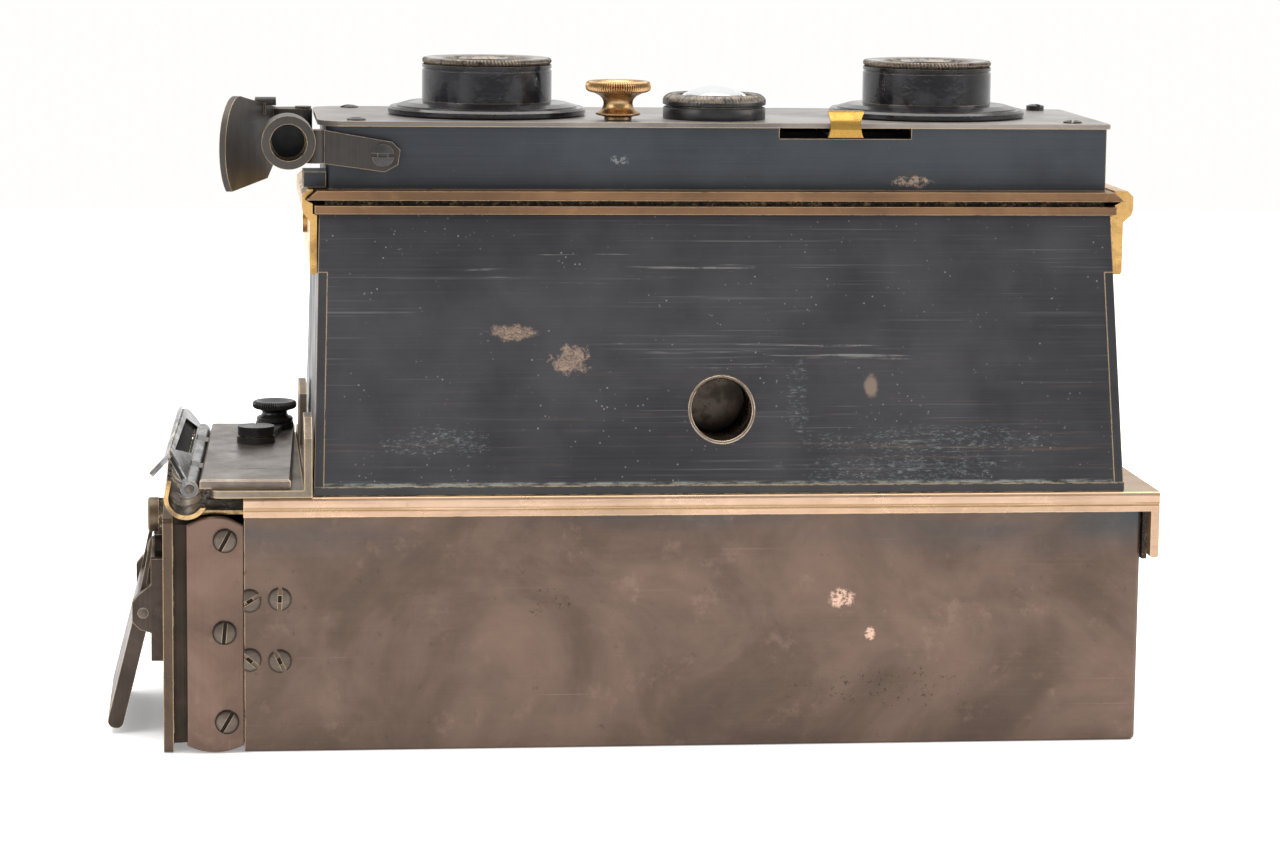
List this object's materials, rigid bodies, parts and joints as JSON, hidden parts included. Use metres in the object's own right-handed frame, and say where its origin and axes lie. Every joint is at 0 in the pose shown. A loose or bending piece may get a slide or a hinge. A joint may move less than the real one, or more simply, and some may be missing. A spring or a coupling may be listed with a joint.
{
  "type": "stereoscopic plate camera",
  "caption": "Vintage all-metal stereoscopic plate camera with twin lenses, sliding shutter, reflecting finder and a drawer magazine for glass plates.",
  "frame": {"origin": "middle of the magazine's flat rear face, under the point midway between the lens axes", "axes": "+Z along the lens axes from the rear face towards the lenses; +X along the stereo base, with the magazine's drawer at the -X end; +Y away from the side that carries the tripod bush"},
  "size_m": [0.1455, 0.0555, 0.0937],
  "materials": {
    "body_black": "worn satin black",
    "front_black": "worn satin black",
    "gloss_black": "gloss black lacquer",
    "bronze": "darkened brass, patinated",
    "copper_brass": "tarnished red brass",
    "raw_brass": "worn raw brass",
    "dark_steel": "darkened steel",
    "sheath_black": "matte black",
    "felt": "black felt",
    "lens_glass": "polished",
    "plate_glass": "coated dry plate",
    "mirror": "silvered"
  },
  "bodies": {
    "camera_body": {"body_faces": "body_black", "body_walls": "body_black", "body_plinth": "body_black", "septum": "sheath_black", "tripod_bush": "raw_brass", "rear_frame": "copper_brass", "light_seals": "felt", "body_flange": "copper_brass", "block_base": "copper_brass", "shutter_case": "front_black", "front_plate": "front_black", "front_screws": "dark_steel", "lens_flanges": "gloss_black", "lens_barrel_left": "gloss_black", "lens_barrel_right": "gloss_black", "front_glasses": "lens_glass", "rear_cells": "gloss_black", "rear_glasses": "lens_glass", "blade_rails": "raw_brass", "finder_ring": "gloss_black", "finder_glass": "lens_glass", "finder_mirror": "mirror", "mirror_cradle": "sheath_black", "finder_window": "lens_glass", "release_bracket": "front_black", "release_pivot": "dark_steel", "platform": "bronze", "side_bracket": "copper_brass", "catch_pin": "dark_steel"},
    "clip_left_body": {"clip_left": "raw_brass"},
    "clip_right_body": {"clip_right": "raw_brass"},
    "stops": {"stop_plate": "sheath_black", "stop_tab": "raw_brass"},
    "shutter": {"shutter_blade": "sheath_black"},
    "tension": {"tension_knob": "raw_brass", "tension_spindle": "dark_steel"},
    "lever": {"release_lever": "front_black"},
    "plunger": {"release_plunger": "dark_steel"},
    "lock_arm": {"lock_lever": "bronze"},
    "lock_knob_body": {"lock_knob": "raw_brass"},
    "catch": {"slide_catch": "bronze"},
    "magazine": {"mag_casing": "bronze", "magazine_screws": "dark_steel", "mag_rim": "bronze", "cover_strips": "bronze", "strip_backings": "bronze"},
    "slide": {"dark_slide": "raw_brass"},
    "drawer": {"drawer_tray": "bronze", "drawer_front": "bronze", "plate_sheaths": "sheath_black", "glass_plates": "plate_glass", "follower": "raw_brass", "pressure_springs": "dark_steel", "handle_bracket": "bronze", "handle_pin": "dark_steel", "counter_button": "raw_brass", "counter_washer": "felt", "domed_rivet": "bronze"},
    "handle": {"pull_handle": "bronze"}
  },
  "joints": [
    {"name": "magazine_slide", "type": "slide", "parent": "camera_body", "child": "magazine", "axis": [-1, 0, 0], "range_m": [0, 0.115]},
    {"name": "dark_slide_pull", "type": "slide", "parent": "magazine", "child": "slide", "axis": [-1, 0, 0], "range_m": [0, 0.11]},
    {"name": "drawer_pull", "type": "slide", "parent": "magazine", "child": "drawer", "axis": [-1, 0, 0], "range_m": [-0.001, 0.108]},
    {"name": "handle_swing", "type": "hinge", "parent": "drawer", "child": "handle", "pos_m": [-0.0799, 0, 0.0174], "axis": [0, 1, 0], "range_deg": [-12, 6]},
    {"name": "catch_lift", "type": "hinge", "parent": "camera_body", "child": "catch", "pos_m": [-0.0725, 0.00024, 0.0366], "axis": [0.0314, 0.9995, 0], "range_deg": [0, 34], "stiffness_Nm_per_rad": 0.004, "springref_deg": -11.46},
    {"name": "lock_swing", "type": "hinge", "parent": "camera_body", "child": "lock_arm", "pos_m": [-0.064, 0.008, 0.0379], "axis": [0, 0, 1], "range_deg": [0, 25]},
    {"name": "lock_knob_turn", "type": "hinge", "parent": "lock_arm", "child": "lock_knob_body", "pos_m": [-0.0611, 0.022, 0.0387], "axis": [0, 0, 1], "continuous": true},
    {"name": "stop_shift", "type": "slide", "parent": "camera_body", "child": "stops", "axis": [1, 0, 0], "range_m": [-0.0062, 0.0062]},
    {"name": "shutter_travel", "type": "slide", "parent": "camera_body", "child": "shutter", "axis": [1, 0, 0], "range_m": [0, 0.014], "stiffness_N_per_m": 15, "springref_m": -0.01},
    {"name": "tension_turn", "type": "hinge", "parent": "camera_body", "child": "tension", "pos_m": [-0.0141, -0.012, 0.0857], "axis": [0, 0, 1], "range_deg": [0, 270]},
    {"name": "lever_press", "type": "hinge", "parent": "camera_body", "child": "lever", "pos_m": [-0.0572, 0.007, 0.085], "axis": [0, 0, 1], "range_deg": [0, 8], "stiffness_Nm_per_rad": 0.02, "springref_deg": -8.59},
    {"name": "plunger_push", "type": "slide", "parent": "camera_body", "child": "plunger", "axis": [0, 1, 0], "range_m": [0, 0.003], "stiffness_N_per_m": 60, "springref_m": -0.002},
    {"name": "clip_left_open", "type": "hinge", "parent": "camera_body", "child": "clip_left_body", "pos_m": [-0.05588, 0, 0.0648], "axis": [0, -1, 0], "range_deg": [0, 6], "stiffness_Nm_per_rad": 0.6, "springref_deg": -5.73},
    {"name": "clip_right_open", "type": "hinge", "parent": "camera_body", "child": "clip_right_body", "pos_m": [0.05488, 0, 0.0648], "axis": [0, 1, 0], "range_deg": [0, 6], "stiffness_Nm_per_rad": 0.6, "springref_deg": -5.73}
  ]
}
